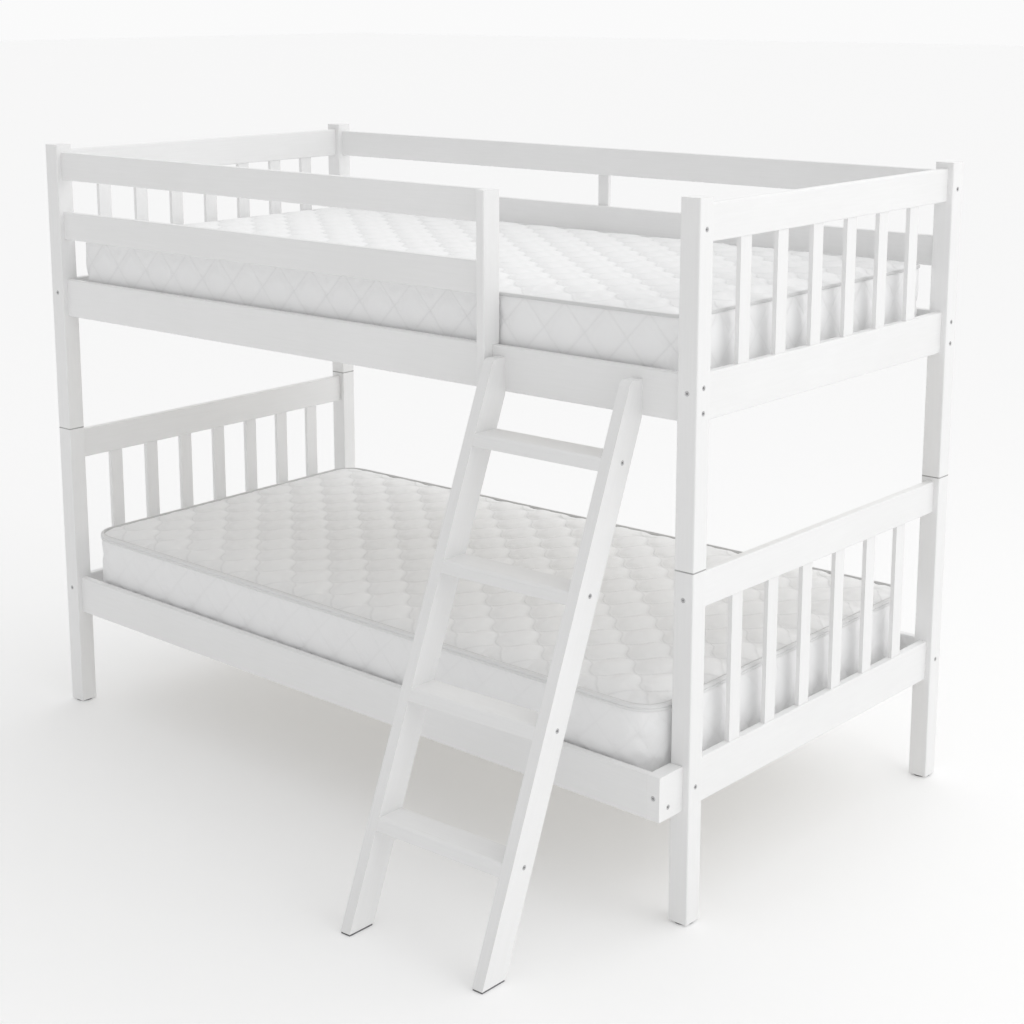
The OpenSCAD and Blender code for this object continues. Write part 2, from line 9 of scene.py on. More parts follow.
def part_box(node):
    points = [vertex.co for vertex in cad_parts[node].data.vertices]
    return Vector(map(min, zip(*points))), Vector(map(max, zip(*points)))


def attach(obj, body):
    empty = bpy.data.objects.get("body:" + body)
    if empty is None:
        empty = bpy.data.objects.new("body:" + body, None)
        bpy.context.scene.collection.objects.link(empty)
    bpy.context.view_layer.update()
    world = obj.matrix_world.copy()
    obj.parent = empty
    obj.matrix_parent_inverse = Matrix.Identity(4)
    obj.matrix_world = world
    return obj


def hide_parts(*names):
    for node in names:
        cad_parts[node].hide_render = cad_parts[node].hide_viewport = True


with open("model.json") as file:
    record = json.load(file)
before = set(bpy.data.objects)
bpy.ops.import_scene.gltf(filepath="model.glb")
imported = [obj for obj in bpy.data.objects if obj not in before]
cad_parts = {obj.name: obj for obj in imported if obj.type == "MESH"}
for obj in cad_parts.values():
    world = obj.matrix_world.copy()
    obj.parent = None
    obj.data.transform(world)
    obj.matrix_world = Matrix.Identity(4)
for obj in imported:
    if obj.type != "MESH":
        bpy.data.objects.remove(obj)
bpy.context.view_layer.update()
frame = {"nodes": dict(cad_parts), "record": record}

cad_nodes = frame["nodes"]
scene = bpy.context.scene

# ---------- camera ----------

CAMERA_AT = Vector((3.079, -3.276, 1.862))
CAMERA_YAW = math.radians(40.3)
CAMERA_PITCH = math.radians(11.93)
CAMERA_LENS = 67.98
CAMERA_SHIFT = -0.11

camera_data = bpy.data.cameras.new("camera")
camera = bpy.data.objects.new("camera", camera_data)
scene.collection.objects.link(camera)
ahead = Vector((
    -math.sin(CAMERA_YAW) * math.cos(CAMERA_PITCH),
    math.cos(CAMERA_YAW) * math.cos(CAMERA_PITCH),
    -math.sin(CAMERA_PITCH),
))
right = ahead.cross(Vector((0, 0, 1))).normalized()
above = right.cross(ahead)
camera.matrix_world = Matrix.Translation(CAMERA_AT) @ Matrix((right, above, -ahead)).transposed().to_4x4()
camera_data.sensor_width = 36
camera_data.lens = CAMERA_LENS
camera_data.shift_y = CAMERA_SHIFT
camera_data.clip_start = 0.05
camera_data.clip_end = 200
scene.camera = camera
scene.view_settings.view_transform = "Standard"

# ---------- node helpers ----------

LUCK_SPREAD = 9.0


def add(tree, kind, inputs=None, **settings):
    made = tree.nodes.new(kind)
    for key, value in settings.items():
        setattr(made, key, value)
    for key, value in (inputs or {}).items():
        if isinstance(value, bpy.types.NodeSocket):
            tree.links.new(value, made.inputs[key])
        else:
            made.inputs[key].default_value = value
    return made


def calc(tree, operation, a, b=0.0):
    return add(tree, "ShaderNodeMath", {0: a, 1: b}, operation=operation).outputs[0]


def ranged(tree, value, from_low, from_high, to_low, to_high):
    made = add(
        tree, "ShaderNodeMapRange",
        {
            "Value": value, "From Min": from_low, "From Max": from_high,
            "To Min": to_low, "To Max": to_high,
        },
    )
    return made.outputs["Result"]


def noise_of(tree, coords, scale, detail=3.0, roughness=0.5, distortion=0.0):
    made = add(
        tree, "ShaderNodeTexNoise",
        {
            "Vector": coords, "Scale": scale, "Detail": detail,
            "Roughness": roughness, "Distortion": distortion,
        },
    )
    return made.outputs["Fac"]


def mixed(tree, amount, a, b):
    made = add(tree, "ShaderNodeMix", data_type="RGBA")
    for socket, value in ((made.inputs[0], amount), (made.inputs[6], a), (made.inputs[7], b)):
        if isinstance(value, bpy.types.NodeSocket):
            tree.links.new(value, socket)
        else:
            socket.default_value = value
    return made.outputs[2]


def bumped(tree, height, distance, strength=1.0, under=None):
    inputs = {"Height": height, "Distance": distance, "Strength": strength}
    if under is not None:
        inputs["Normal"] = under
    return add(tree, "ShaderNodeBump", inputs).outputs["Normal"]


def new_material(name):
    made = bpy.data.materials.new(name)
    made.use_nodes = True
    return made, made.node_tree, made.node_tree.nodes["Principled BSDF"]


def object_coords(tree):
    return add(tree, "ShaderNodeTexCoord").outputs["Object"]


def split_of(tree, vector):
    """The three components of a vector."""
    return add(tree, "ShaderNodeSeparateXYZ", {"Vector": vector}).outputs


def weighted(tree, value, weight):
    return calc(tree, "MULTIPLY", value, weight)


def away_from(tree, value, middle):
    return calc(tree, "ABSOLUTE", calc(tree, "SUBTRACT", value, middle))


def feed(tree, shader, **sources):
    """Links a source to each shader input; an underscore in a name stands for a space."""
    for name, source in sources.items():
        tree.links.new(source, shader.inputs[name.replace("_", " ")])


def tinted(shade):
    return (shade, shade, shade, 1)


def own_coords(tree):
    """Object coordinates, moved along by a different amount for each object."""
    place = object_coords(tree)
    luck = weighted(tree, add(tree, "ShaderNodeObjectInfo").outputs["Random"], LUCK_SPREAD)
    return add(tree, "ShaderNodeVectorMath", {0: place, 1: luck}, operation="ADD").outputs[0]


# ---------- materials ----------

GRAIN_ALONG = 1.6
GRAIN_ACROSS = 34.0
WORN_RADIUS = 0.0022
# half width and fade of the painted shade line at the post joint, in metres
SHADE_LINE_HALF = 0.0010
SHADE_LINE_FADE = 0.0018


def stretched(tree, coords, along, turn=0.0):
    """Coordinates drawn out along one axis, after a turn about X."""
    turned = add(tree, "ShaderNodeMapping", {"Vector": coords, "Rotation": (turn, 0, 0)}).outputs[0]
    scale = [GRAIN_ACROSS] * 3
    scale["XYZ".index(along)] = GRAIN_ALONG
    return add(tree, "ShaderNodeMapping", {"Vector": turned, "Scale": scale}).outputs[0]


def edge_mask(tree, radius):
    """1 on edges, 0 on flats."""
    soft = add(tree, "ShaderNodeBevel", {"Radius": radius}, samples=4).outputs[0]
    true = add(tree, "ShaderNodeNewGeometry").outputs["Normal"]
    same = add(tree, "ShaderNodeVectorMath", {0: soft, 1: true}, operation="DOT_PRODUCT")
    return ranged(tree, same.outputs["Value"], 0.995, 0.88, 0.0, 1.0)


def painted_wood(name, along, turn=0.0, painted_gap_shade_z=None):
    """White paint over faint grain, with a thin line of painted shade at the height of the open joint
    between two posts, when that height is given.
    """
    made, tree, shader = new_material(name)
    coords = own_coords(tree)
    fibre = noise_of(tree, stretched(tree, coords, along, turn), 6.0, 7.0, 0.62, 0.4)
    brush = noise_of(tree, stretched(tree, coords, along, turn), 22.0, 2.0, 0.5)
    blotch = noise_of(tree, coords, 3.1, 3.0)
    peel = noise_of(tree, coords, 260.0, 2.0)
    tone = calc(tree, "ADD", weighted(tree, fibre, 0.45), weighted(tree, blotch, 0.55))
    paint = mixed(tree, ranged(tree, tone, 0.35, 0.65, 0.0, 1.0), (0.85, 0.85, 0.847, 1), tinted(0.885))
    # painted shade: a thin dark line across the post at the joint height stands in for the shade inside the
    # gap between the two posts
    if painted_gap_shade_z is not None:
        off = away_from(tree, split_of(tree, object_coords(tree))[2], painted_gap_shade_z)
        paint = mixed(tree, ranged(tree, off, SHADE_LINE_HALF, SHADE_LINE_FADE, 0.8, 0.0), paint, tinted(0.16))
    patchy = ranged(tree, noise_of(tree, coords, 46.0, 4.0), 0.42, 0.62, 0.1, 0.75)
    worn = weighted(tree, edge_mask(tree, WORN_RADIUS), patchy)
    rough = ranged(tree, calc(tree, "ADD", brush, peel), 0.6, 1.4, 0.34, 0.47)
    relief = bumped(tree, fibre, 0.00035, 0.5)
    relief = bumped(tree, brush, 0.00012, 0.45, relief)
    relief = bumped(tree, peel, 0.00010, 0.5, relief)
    feed(
        tree, shader,
        Base_Color=mixed(tree, worn, paint, (0.80, 0.79, 0.77, 1)),
        Roughness=calc(tree, "ADD", rough, weighted(tree, worn, 0.12)),
        Normal=relief,
    )
    shader.inputs["Coat Weight"].default_value = 0.12
    shader.inputs["Coat Roughness"].default_value = 0.28
    return made


def pine(name, along):
    made, tree, shader = new_material(name)
    coords = own_coords(tree)
    long_grain = stretched(tree, coords, along)
    rings = add(
        tree, "ShaderNodeTexWave",
        {"Vector": long_grain, "Scale": 0.55, "Distortion": 5.5, "Detail": 3.0, "Detail Scale": 0.8},
        wave_type="RINGS", rings_direction=along,
    ).outputs["Fac"]
    fibre = noise_of(tree, long_grain, 9.0, 6.0, 0.6)
    knots = add(tree, "ShaderNodeTexVoronoi", {"Vector": coords, "Scale": 3.2}, feature="F1")
    knot = ranged(tree, knots.outputs["Distance"], 0.085, 0.05, 0.0, 1.0)
    streak = ranged(tree, fibre, 0.3, 0.7, 0.0, 1.0)
    pale = mixed(tree, streak, (0.82, 0.79, 0.73, 1), (0.87, 0.845, 0.79, 1))
    banded = mixed(tree, weighted(tree, rings, 0.45), pale, (0.74, 0.68, 0.58, 1))
    relief = bumped(tree, rings, 0.0004, 0.4)
    feed(
        tree, shader,
        Base_Color=mixed(tree, weighted(tree, knot, 0.7), banded, (0.45, 0.34, 0.22, 1)),
        Roughness=ranged(tree, fibre, 0.2, 0.8, 0.52, 0.7),
        Normal=bumped(tree, fibre, 0.0005, 0.6, relief),
    )
    return made


def zinc_steel(name):
    made, tree, shader = new_material(name)
    coords = own_coords(tree)
    cloud = noise_of(tree, coords, 340.0, 4.0)
    scratch = noise_of(tree, coords, 1500.0, 3.0)
    feed(
        tree, shader,
        Base_Color=mixed(tree, cloud, (0.50, 0.50, 0.51, 1), tinted(0.66)),
        Roughness=ranged(tree, cloud, 0.3, 0.7, 0.28, 0.48),
        Normal=bumped(tree, scratch, 0.00004, 0.6),
    )
    shader.inputs["Metallic"].default_value = 1.0
    return made


def moulded_plastic(name):
    made, tree, shader = new_material(name)
    coords = own_coords(tree)
    speck = noise_of(tree, coords, 900.0, 3.0)
    cloud = noise_of(tree, coords, 30.0, 3.0)
    feed(
        tree, shader,
        Base_Color=mixed(tree, cloud, (0.09, 0.09, 0.095, 1), (0.15, 0.15, 0.155, 1)),
        Roughness=ranged(tree, speck, 0.3, 0.7, 0.5, 0.72),
        Normal=bumped(tree, speck, 0.00015, 0.6),
    )
    return made


STITCHES_PER_CELL = 24
STITCH_GAP = 0.3
THREAD_HALF = 0.010
VALLEY_HALF = 0.065
FAR_POSITIVE = 100.0


def line_distance(tree, value):
    """0 on a whole number, 0.5 half way between two."""
    part = calc(tree, "FRACT", calc(tree, "ADD", value, FAR_POSITIVE))
    return calc(tree, "SUBTRACT", 0.5, away_from(tree, part, 0.5))


def dashes(tree, value, per_unit, gap):
    """1 on the dashes of a dashed line that runs along value, 0 in its gaps."""
    return calc(tree, "GREATER_THAN", calc(tree, "FRACT", weighted(tree, value, per_unit)), gap)


def thread_line(tree, distance, along):
    """Stitches on one family of lines."""
    on_line = calc(tree, "LESS_THAN", distance, THREAD_HALF)
    forward = calc(tree, "ADD", along, FAR_POSITIVE)
    return weighted(tree, on_line, dashes(tree, forward, STITCHES_PER_CELL, STITCH_GAP))


def weave_of(tree, coords, threads):
    """Over and under threads of a fine woven or knitted cloth."""
    x, y, z = split_of(tree, coords)
    turns = threads * 2 * math.pi
    along, across = (
        calc(tree, "SINE", weighted(tree, calc(tree, "ADD", side, z), turns)) for side in (x, y)
    )
    return weighted(tree, along, across)


def woven(tree, weave, weight, cloth, shade):
    """Darkens the gaps of the weave a little."""
    return mixed(tree, weighted(tree, calc(tree, "ADD", weave, 1.0), weight), cloth, shade)


def set_sheen(shader, weight, roughness):
    shader.inputs["Sheen Weight"].default_value = weight
    shader.inputs["Sheen Roughness"].default_value = roughness


def quilted_cloth(name, depth):
    """Depth scales the sewn grooves, the painted shade along them and the puckers beside them."""
    made, tree, shader = new_material(name)
    coords = object_coords(tree)
    p, q, _ = split_of(tree, add(tree, "ShaderNodeUVMap", uv_map="quilt").outputs[0])
    to_p, to_q = line_distance(tree, p), line_distance(tree, q)
    near = calc(tree, "MINIMUM", to_p, to_q)
    valley = ranged(tree, near, 0.0, VALLEY_HALF, 1.0, 0.0)
    groove = calc(tree, "POWER", valley, 2.0)
    thread = calc(tree, "MAXIMUM", thread_line(tree, to_p, q), thread_line(tree, to_q, p))
    weave = weave_of(tree, coords, 430.0)
    fuzz = noise_of(tree, coords, 1100.0, 3.0)
    pucker = noise_of(tree, coords, 85.0, 4.0, 0.6, 0.6)
    cloud = noise_of(tree, coords, 5.0, 4.0)
    cloth = mixed(tree, cloud, (0.925, 0.926, 0.928, 1), (0.95, 0.951, 0.953, 1))
    cloth = woven(tree, weave, 0.06, cloth, tinted(0.80))
    # painted shade: the cloth is darkened along the sewn grooves, where shade falls
    cloth = mixed(tree, weighted(tree, groove, 0.32 * depth), cloth, (0.70, 0.70, 0.71, 1))
    cloth = mixed(tree, weighted(tree, thread, 0.5 * depth), cloth, tinted(0.90))
    relief = bumped(tree, groove, -0.0018 * depth, 0.8)
    relief = bumped(tree, weighted(tree, pucker, valley), 0.0034 * depth, 0.8, relief)
    relief = bumped(tree, thread, 0.0006, 0.7, relief)
    relief = bumped(tree, weave, 0.00020, 0.5, relief)
    relief = bumped(tree, fuzz, 0.00025, 0.5, relief)
    feed(tree, shader, Base_Color=cloth, Roughness=ranged(tree, fuzz, 0.2, 0.8, 0.78, 0.92), Normal=relief)
    set_sheen(shader, 0.25, 0.5)
    return made


def plain_cloth(name, light, dark, threads):
    made, tree, shader = new_material(name)
    coords = object_coords(tree)
    weave = weave_of(tree, coords, threads)
    cloud = noise_of(tree, coords, 9.0, 4.0)
    fuzz = noise_of(tree, coords, 900.0, 3.0)
    relief = bumped(tree, weave, 0.00035, 0.6)
    feed(
        tree, shader,
        Base_Color=woven(tree, weave, 0.1, mixed(tree, cloud, dark, light), dark),
        Roughness=ranged(tree, fuzz, 0.2, 0.8, 0.74, 0.9),
        Normal=bumped(tree, fuzz, 0.0002, 0.5, relief),
    )
    set_sheen(shader, 0.2, 0.5)
    return made


RIB_PITCH = 0.0016
TAPE_STITCH = 0.0045
SEWN_HALF = 0.05


def ribbed_tape(name):
    """Ribbed tape, sewn along its middle, with a painted shadow where its sides meet the cloth."""
    made, tree, shader = new_material(name)
    coords = object_coords(tree)
    length, around, _ = split_of(tree, add(tree, "ShaderNodeUVMap", uv_map="run").outputs[0])
    rib = calc(tree, "SINE", weighted(tree, length, 2 * math.pi / RIB_PITCH))
    off_middle = away_from(tree, around, 0.5)
    sewn = calc(tree, "LESS_THAN", off_middle, SEWN_HALF)
    thread = weighted(tree, sewn, dashes(tree, length, 1 / TAPE_STITCH, 0.35))
    cloud = noise_of(tree, coords, 14.0, 3.0)
    fuzz = noise_of(tree, coords, 1300.0, 3.0)
    cloth = mixed(tree, cloud, tinted(0.87), tinted(0.91))
    cloth = mixed(tree, ranged(tree, rib, -1.0, 1.0, 0.12, 0.0), cloth, tinted(0.72))
    # painted shadow: dark bands along both sides of the tape, where it meets the cloth
    cloth = mixed(tree, ranged(tree, off_middle, 0.30, 0.40, 0.0, 0.3), cloth, tinted(0.42))
    relief = bumped(tree, rib, 0.0003, 0.6)
    relief = bumped(tree, thread, 0.0006, 0.6, relief)
    feed(
        tree, shader,
        Base_Color=mixed(tree, weighted(tree, thread, 0.5), cloth, tinted(0.80)),
        Roughness=ranged(tree, fuzz, 0.2, 0.8, 0.6, 0.78),
        Normal=bumped(tree, fuzz, 0.0002, 0.4, relief),
    )
    set_sheen(shader, 0.3, 0.4)
    return made


LADDER_RUN = 0.4
wood_x = painted_wood("white_wood_x", "X")
wood_y = painted_wood("white_wood_y", "Y")
wood_z = painted_wood("white_wood_z", "Z", painted_gap_shade_z=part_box("upper_post_front_left")[0][2])
wood_lean = painted_wood("white_wood_lean", "Z", turn=math.atan(LADDER_RUN))
slat_wood = pine("pine_y", "Y")
dowel_wood = pine("pine_x", "X")
steel = zinc_steel("zinc_steel")
plastic = moulded_plastic("grey_plastic")
quilt = quilted_cloth("quilted_cover", 1.0)
side_quilt = quilted_cloth("quilted_side", 0.5)
faint_quilt = quilted_cloth("faint_side", 0.12)
underside = plain_cloth("underside_cloth", tinted(0.90), tinted(0.84), 260.0)
tape = ribbed_tape("ribbed_tape")

# ---------- the CAD pieces ----------

RUNS_ALONG_BED = (
    "front_rail", "back_rail", "cleat", "guard_top_board", "guard_middle_board", "tread", "corner_block",
)
RUNS_ACROSS_BED = ("cap_rail", "end_rail")


def finish_for(name, slot):
    if slot == "fastener":
        return steel
    if slot == "glide":
        return plastic
    if slot == "bare_wood":
        return slat_wood if "slats" in name else dowel_wood
    if "stringer" in name:
        return wood_lean
    if any(word in name for word in RUNS_ACROSS_BED):
        return wood_y
    if any(word in name for word in RUNS_ALONG_BED):
        return wood_x
    return wood_z


slot_of = {part["node"]: part["material_slot"] for part in frame["record"]["subparts"]}
EASED_EDGE = {"white_wood": 0.0017, "bare_wood": 0.0015, "fastener": 0.0003, "glide": 0.0006}

for name, obj in cad_nodes.items():
    if slot_of[name] == "mattress_cover":
        continue
    obj.data.materials.clear()
    obj.data.materials.append(finish_for(name, slot_of[name]))
    eased = obj.modifiers.new("eased_edges", "BEVEL")
    eased.width = EASED_EDGE[slot_of[name]]
    eased.segments = 2
    eased.limit_method = "ANGLE"
    eased.angle_limit = math.radians(40)
    eased.harden_normals = True

# ---------- mattresses ----------

# mesh steps along each side of a quilting cell, and cells along and across the bed
STEPS = 14
CELLS_LONG = 14
CELLS_WIDE = 8
# mesh columns to a cell on the sides, and mesh rows down them
SIDE_PERIOD = 11
SIDE_ROWS = 14
# sway of the stitch lines and rough size of a cell, in metres
WAVE = 0.0055
UNIT = 0.09
# rows that turn under a mattress: share of the way down to its bottom, and how far in
TUCKS = ((0.35, 0.006), (1.0, 0.022))
CROWN_POWER = 2.4
BELLY_POWER = 0.6
TINY = 1e-9
ON_LINE = 0.002
COVER, UNDERSIDE, SIDE = range(3)


def mesh_object(name, verts, faces, uv_name, uvs):
    """A smooth-shaded object from lists of points, faces and each face's corner UVs."""
    mesh = bpy.data.meshes.new(name)
    mesh.from_pydata(verts, [], faces)
    layer = mesh.uv_layers.new(name=uv_name)
    layer.data.foreach_set("uv", [value for face in uvs for pair in face for value in pair])
    mesh.polygons.foreach_set("use_smooth", [True] * len(faces))
    mesh.update()
    made = bpy.data.objects.new(name, mesh)
    scene.collection.objects.link(made)
    return made


def smooth(value, low, high):
    t = np.clip((value - low) / (high - low), 0, 1)
    return t * t * (3 - 2 * t)


def to_line(value):
    return np.abs(value - np.round(value))


def top_surface(lo, hi, front, spec):
    """Points of the quilted crowned top, and which of them lie on stitch lines."""
    nx, ny = CELLS_LONG * STEPS, CELLS_WIDE * STEPS
    inset = spec["inset"]
    half_l = (hi.x - lo.x) / 2 - inset
    mid_x = (hi.x + lo.x) / 2
    back = hi.y - inset
    i, j = np.meshgrid(np.arange(nx + 1), np.arange(ny + 1), indexing="ij")
    p = (i + j) / STEPS
    q = (i - j) / STEPS
    x = -half_l + 2 * half_l * i / nx
    near_y = front(x + mid_x) + inset
    y = near_y + (back - near_y) * j / ny
    from_side = half_l - np.abs(x)
    from_front = np.minimum(y - near_y, back - y)
    edge = np.minimum(from_side, from_front)
    # the stitch lines sway between crossings
    sway = WAVE * smooth(edge, 0.01, 0.06)
    unit = np.array([CELLS_LONG / (2 * half_l), CELLS_WIDE / (back - lo.y)])
    unit /= np.linalg.norm(unit)
    shift_p = sway * np.sin(2 * math.pi * q)
    shift_q = sway * np.sin(2 * math.pi * p)
    move_x = unit[0] * (shift_p + shift_q)
    move_y = unit[1] * (shift_p - shift_q)
    # the corners are round in plan
    a = np.clip(spec["corner"] - from_side, 0, None)
    b = np.clip(spec["corner"] - from_front, 0, None)
    share = np.maximum(a, b) / np.maximum(np.hypot(a, b), TINY)
    pull_x = a - a * share
    pull_y = b - b * share
    x = x - np.sign(x) * pull_x + move_x
    y = np.where(j < ny / 2, y + pull_y, y - pull_y) + move_y
    line = np.minimum(to_line(p), to_line(q)) * UNIT
    dip = np.exp(-line / spec["softness"])
    reach = smooth(edge, *spec["fade"])
    crown = 1 - (1 - np.clip(edge / spec["roll"], 0, 1)) ** CROWN_POWER
    z = spec["seam_top"] + crown * spec["crown"] - spec["depth"] * dip * reach
    return np.stack([x + mid_x, y, z], -1), (line < ON_LINE / 2) & (reach > 0.5)


def mattress_mesh(name, lo, hi, front, spec):
    """A closed mattress: quilted crowned top, sewn sides and a plain underside."""
    nx, ny = CELLS_LONG * STEPS, CELLS_WIDE * STEPS
    top, sewn = top_surface(lo, hi, front, spec)
    # the loop round the top's rim, anticlockwise from the front left corner
    loop = (
        [(k, 0) for k in range(nx)]
        + [(nx, k) for k in range(ny)]
        + [(k, ny) for k in range(nx, 0, -1)]
        + [(0, k) for k in range(ny, 0, -1)]
    )
    rim = np.array([top[k] for k in loop])
    along = np.roll(rim, -1, 0) - np.roll(rim, 1, 0)
    out = np.stack([along[:, 1], -along[:, 0]], -1)
    out /= np.linalg.norm(out, axis=1)[:, None]
    count = len(loop)
    verts = [tuple(v) for v in top.reshape(-1, 3)]
    pins = list(sewn.reshape(-1))
    index = {(r, c): r * (ny + 1) + c for r in range(nx + 1) for c in range(ny + 1)}
    rings = [[index[k] for k in loop]]
    for v in rings[0]:
        pins[v] = True

    def add_ring(offset, height, held):
        """A ring of points offset outwards from the rim."""
        start = len(verts)
        plan = rim[:, :2] + out * offset[:, None]
        verts.extend((spot[0], spot[1], height) for spot in plan)
        pins.extend(held)
        rings.append(list(range(start, start + count)))

    column = np.arange(count)
    for row in range(1, SIDE_ROWS + 1):
        t = row / SIDE_ROWS
        height = spec["seam_top"] + (spec["seam_low"] - spec["seam_top"]) * t
        sp = column / SIDE_PERIOD + t * spec["side_cells"]
        sq = column / SIDE_PERIOD - t * spec["side_cells"]
        side_line = np.minimum(to_line(sp), to_line(sq)) * UNIT
        dip = np.exp(-side_line / spec["softness"])
        belly = math.sin(math.pi * t) ** BELLY_POWER if row < SIDE_ROWS else 0.0
        bulge = belly * (spec["belly"] - spec["side_depth"] * dip)
        add_ring(bulge, height, (side_line < ON_LINE) | (row == SIDE_ROWS))
    for drop, inward in TUCKS:
        height = spec["seam_low"] + (spec["bottom"] - spec["seam_low"]) * drop
        add_ring(np.full(count, -inward), height, [True] * count)

    faces, uvs, kinds = [], [], []
    plain = [(0.5, 0.5)] * 4
    for r in range(nx):
        for c in range(ny):
            ring = [(r, c), (r + 1, c), (r + 1, c + 1), (r, c + 1)]
            faces.append([index[k] for k in ring])
            uvs.append([((m + n) / STEPS, (m - n) / STEPS) for m, n in ring])
            kinds.append(COVER)
    grow = spec["side_cells"] / SIDE_ROWS
    for row in range(len(rings) - 1):
        for k in range(count):
            after = (k + 1) % count
            faces.append([rings[row][k], rings[row + 1][k], rings[row + 1][after], rings[row][after]])
            corners = [(k, row), (k, row + 1), (k + 1, row + 1), (k + 1, row)]
            if row < SIDE_ROWS:
                uvs.append([(m / SIDE_PERIOD + n * grow, m / SIDE_PERIOD - n * grow) for m, n in corners])
                kinds.append(SIDE)
            else:
                uvs.append(plain)
                kinds.append(UNDERSIDE)
    # the underside is a grid too, its rim being the last ring
    under = dict(zip(loop, rings[-1]))
    middle = np.array([(hi.x + lo.x) / 2, (hi.y + lo.y) / 2])
    tuck = TUCKS[-1][1]
    half_l = (hi.x - lo.x) / 2 - spec["inset"]
    shrink = np.array([1 - tuck / half_l, 1 - 2 * tuck / (hi.y - lo.y)])
    for r in range(1, nx):
        for c in range(1, ny):
            under[r, c] = len(verts)
            spot = middle + (top[r, c, :2] - middle) * shrink
            verts.append((spot[0], spot[1], spec["bottom"]))
            pins.append(True)
    for r in range(nx):
        for c in range(ny):
            faces.append([under[k] for k in ((r, c), (r, c + 1), (r + 1, c + 1), (r + 1, c))])
            uvs.append(plain)
            kinds.append(UNDERSIDE)
    made = mesh_object(name, verts, faces, "quilt", uvs)
    made.data.polygons.foreach_set("material_index", kinds)
    for cloth in (quilt, underside, spec["side"]):
        made.data.materials.append(cloth)
    held = made.vertex_groups.new(name="held")
    held.add([k for k, pinned in enumerate(pins) if pinned], 1.0, "REPLACE")
    return made, rim, out


SIM_FRAMES = 20


def inflate(obj, cap):
    """Puffs the cloth between its stitch lines with a short simulation, kept as the mesh."""
    start = np.array([v.co for v in obj.data.vertices])
    cloth = obj.modifiers.new("cloth", "CLOTH")
    settings = cloth.settings
    settings.quality = 4
    settings.mass = 0.3
    settings.tension_stiffness = 15
    settings.compression_stiffness = 12
    settings.shear_stiffness = 4
    settings.bending_stiffness = 0.3
    settings.use_pressure = True
    settings.uniform_pressure_force = 4
    settings.vertex_group_mass = "held"
    settings.shrink_min = -0.03
    settings.effector_weights.gravity = 0
    cloth.collision_settings.use_collision = False
    cloth.point_cache.frame_start = 1
    cloth.point_cache.frame_end = SIM_FRAMES
    for moment in range(1, SIM_FRAMES + 1):
        scene.frame_set(moment)
    settled = obj.evaluated_get(bpy.context.evaluated_depsgraph_get()).to_mesh()
    end = np.array([v.co for v in settled.vertices])
    obj.modifiers.remove(cloth)
    scene.frame_set(1)
    move = end - start
    reach = np.maximum(np.linalg.norm(move, axis=1), TINY)
    move *= np.minimum(1, cap / reach)[:, None]
    obj.data.vertices.foreach_set("co", (start + move).reshape(-1))
    obj.data.update()


def swept(name, path, out, profile):
    """A closed profile of (outward, up) points carried round a closed path."""
    count, turns = len(path), len(profile)
    step = np.linalg.norm(np.roll(path, -1, 0) - path, axis=1)
    run = np.concatenate([[0], np.cumsum(step)])
    verts = [
        (path[k, 0] + out[k, 0] * w, path[k, 1] + out[k, 1] * w, path[k, 2] + h)
        for k in range(count) for w, h in profile
    ]
    faces, uvs = [], []
    for k in range(count):
        after = (k + 1) % count
        for m in range(turns):
            n = (m + 1) % turns
            faces.append([k * turns + m, after * turns + m, after * turns + n, k * turns + n])
            stretch = (run[k], run[k + 1])
            round_ = (m / turns, (m + 1) / turns)
            uvs.append([(stretch[a], round_[b]) for a, b in ((0, 0), (1, 0), (1, 1), (0, 1))])
    made = mesh_object(name, verts, faces, "run", uvs)
    made.data.materials.append(tape)
    return made


def cord_profile(radius):
    turns = [k * math.pi / 5 for k in range(10)]
    return [(radius * math.cos(turn), radius * math.sin(turn)) for turn in turns]


def band_profile(width, bead):
    """A flat tape with a raised bead along each edge."""
    half = width / 2
    upper = [
        (bead * math.cos(k * math.pi / 4), half - bead + bead * math.sin(k * math.pi / 4))
        for k in range(3)
    ]
    lower = [(w, -h) for w, h in reversed(upper)]
    trough = [(bead * 0.35, -half + bead * 2.2), (bead * 0.35, half - bead * 2.2)]
    return [(-bead, -half), (0.0, -half)] + lower[1:] + trough + upper[:-1] + [(0.0, half), (-bead, half)]


def build_mattress(node, body, front, spec, profile):
    """A mattress in place of its CAD node, with an edging round its top and one round its bottom."""
    lo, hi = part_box(node)
    pad, rim, out = mattress_mesh(node + "_cover", lo, hi, front, spec)
    inflate(pad, spec["cap"])
    finer = pad.modifiers.new("finer", "SUBSURF")
    finer.levels = 1
    finer.render_levels = 1
    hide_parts(node)
    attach(pad, body)
    for label, height in (("top", spec["seam_top"]), ("low", spec["seam_low"])):
        path = rim.copy()
        path[:, 2] = height
        edge = swept(f"{node}_tape_{label}", path, out, profile)
        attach(edge, body)


def spec_of(low, high, seam_drop, **own):
    """Measures of a mattress, in metres: those the two share, and its own."""
    return {
        "inset": 0.0065, "seam_top": high.z - seam_drop, "seam_low": low.z + 0.010, "bottom": low.z,
        "roll": 0.11, "depth": 0.0050, "softness": 0.012, "belly": 0.002, "cap": 0.0035, **own,
    }


low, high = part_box("upper_mattress")
upper_spec = spec_of(
    low, high, seam_drop=0.004, corner=0.045, crown=0.013, fade=(0.0, 0.03),
    side_depth=0.0022, side_cells=1.2, side=side_quilt,
)
upper_front = low.y
build_mattress(
    "upper_mattress", "upper_mattress_body", lambda x: upper_front + 0 * x, upper_spec, cord_profile(0.0045)
)

low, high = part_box("lower_mattress")
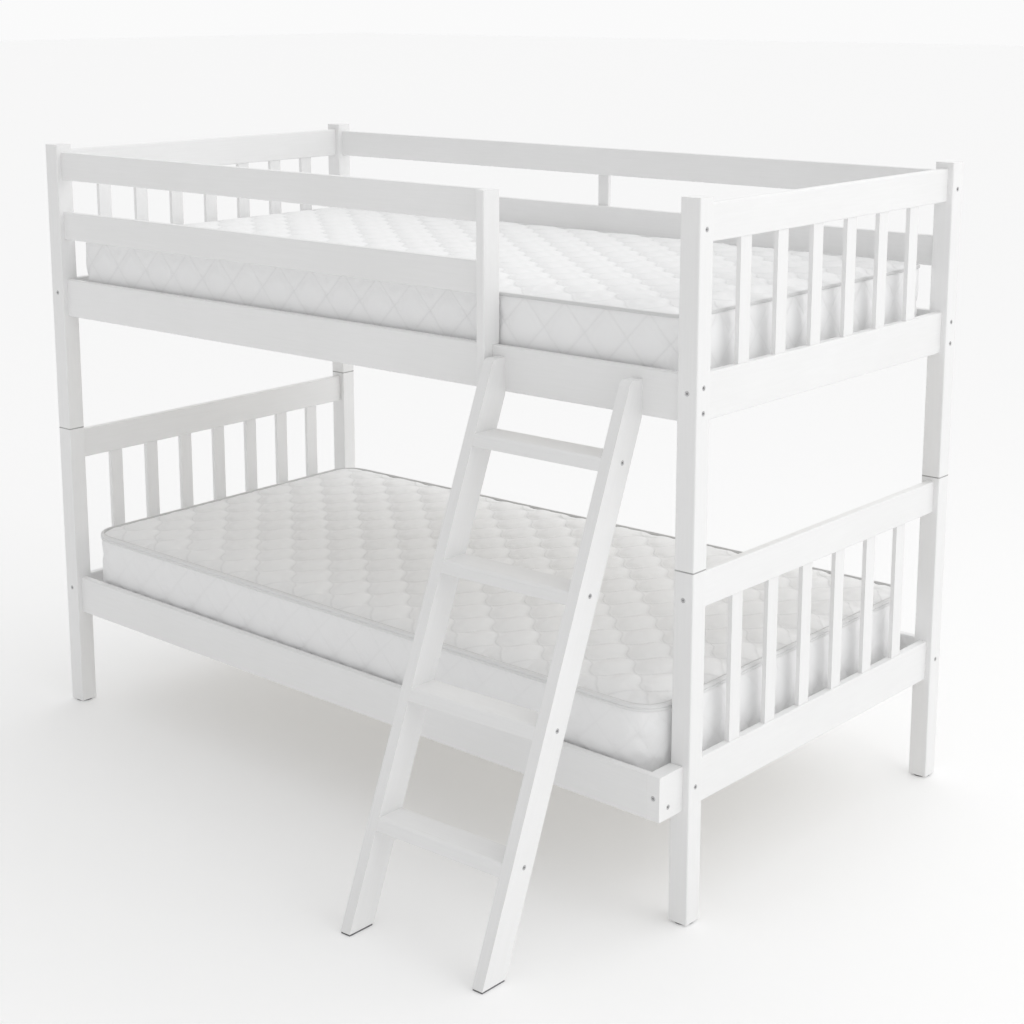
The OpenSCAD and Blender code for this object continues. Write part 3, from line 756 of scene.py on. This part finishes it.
# its front edge slants with the flared rail: from the corner at the left end to the one furthest forward
LEFT_STRIP = 0.06
outline = np.array([v.co for v in cad_nodes["lower_mattress"].data.vertices])
left_part = outline[outline[:, 0] < low.x + LEFT_STRIP]
left_end = left_part[left_part[:, 1].argmin()]
right_end = outline[outline[:, 1].argmin()]
slope = (right_end[1] - left_end[1]) / (right_end[0] - left_end[0])
lower_spec = spec_of(
    low, high, seam_drop=0.008, corner=0.070, crown=0.016, fade=(0.03, 0.085),
    side_depth=0.0004, side_cells=1.4, side=faint_quilt,
)
build_mattress(
    "lower_mattress", "lower_mattress_body", lambda x: left_end[1] + slope * (x - left_end[0]),
    lower_spec, band_profile(0.016, 0.0048),
)

# ---------- floor and light ----------

floor_mesh = bpy.data.meshes.new("floor")
REACH = 60.0
floor_mesh.from_pydata(
    [(-REACH, -REACH, 0), (REACH, -REACH, 0), (REACH, REACH, 0), (-REACH, REACH, 0)], [], [(0, 1, 2, 3)]
)
floor = bpy.data.objects.new("floor", floor_mesh)
scene.collection.objects.link(floor)
floor_paint, _, floor_shader = new_material("floor")
floor_shader.inputs["Base Color"].default_value = (0.84, 0.84, 0.84, 1)
floor_shader.inputs["Roughness"].default_value = 0.9
floor_shader.inputs["Specular IOR Level"].default_value = 0.1
floor_shader.inputs["Emission Color"].default_value = (1, 1, 1, 1)
floor_shader.inputs["Emission Strength"].default_value = 0.155
floor_mesh.materials.append(floor_paint)

BACKDROP = 0.96
BASE_LIGHT = 0.445
RIGHT_LIGHT = 0.24
BACK_LIGHT = 0.72
ABOVE_LIGHT = 0.38

world = bpy.data.worlds.new("world")
scene.world = world
world.use_nodes = True
sky = world.node_tree
background = sky.nodes["Background"]
to_x, to_y, to_z = split_of(sky, add(sky, "ShaderNodeTexCoord").outputs["Generated"])
from_right = weighted(sky, ranged(sky, to_x, -0.1, 0.9, 0.0, 1.0), RIGHT_LIGHT)
from_back = weighted(sky, ranged(sky, to_y, 0.0, 0.9, 0.0, 1.0), BACK_LIGHT)
from_above = weighted(sky, ranged(sky, to_z, 0.1, 1.0, 0.0, 1.0), ABOVE_LIGHT)
lit = calc(sky, "ADD", calc(sky, "ADD", BASE_LIGHT, from_back), calc(sky, "ADD", from_right, from_above))
seen = add(sky, "ShaderNodeLightPath").outputs["Is Camera Ray"]
unseen = calc(sky, "SUBTRACT", 1.0, seen)
level = calc(sky, "ADD", weighted(sky, seen, BACKDROP), weighted(sky, unseen, lit))
sky.links.new(level, background.inputs["Strength"])
background.inputs["Color"].default_value = (1, 1, 1, 1)


def softbox(name, at, aim, size, power):
    data = bpy.data.lights.new(name, "AREA")
    data.shape = "RECTANGLE"
    data.size, data.size_y = size
    data.energy = power
    made = bpy.data.objects.new(name, data)
    scene.collection.objects.link(made)
    made.location = at
    made.rotation_euler = (Vector(aim) - Vector(at)).to_track_quat("-Z", "Y").to_euler()


softbox("key", (4.5, 0.4, 3.6), (0, 0, 0.7), (2.6, 2.6), 27)
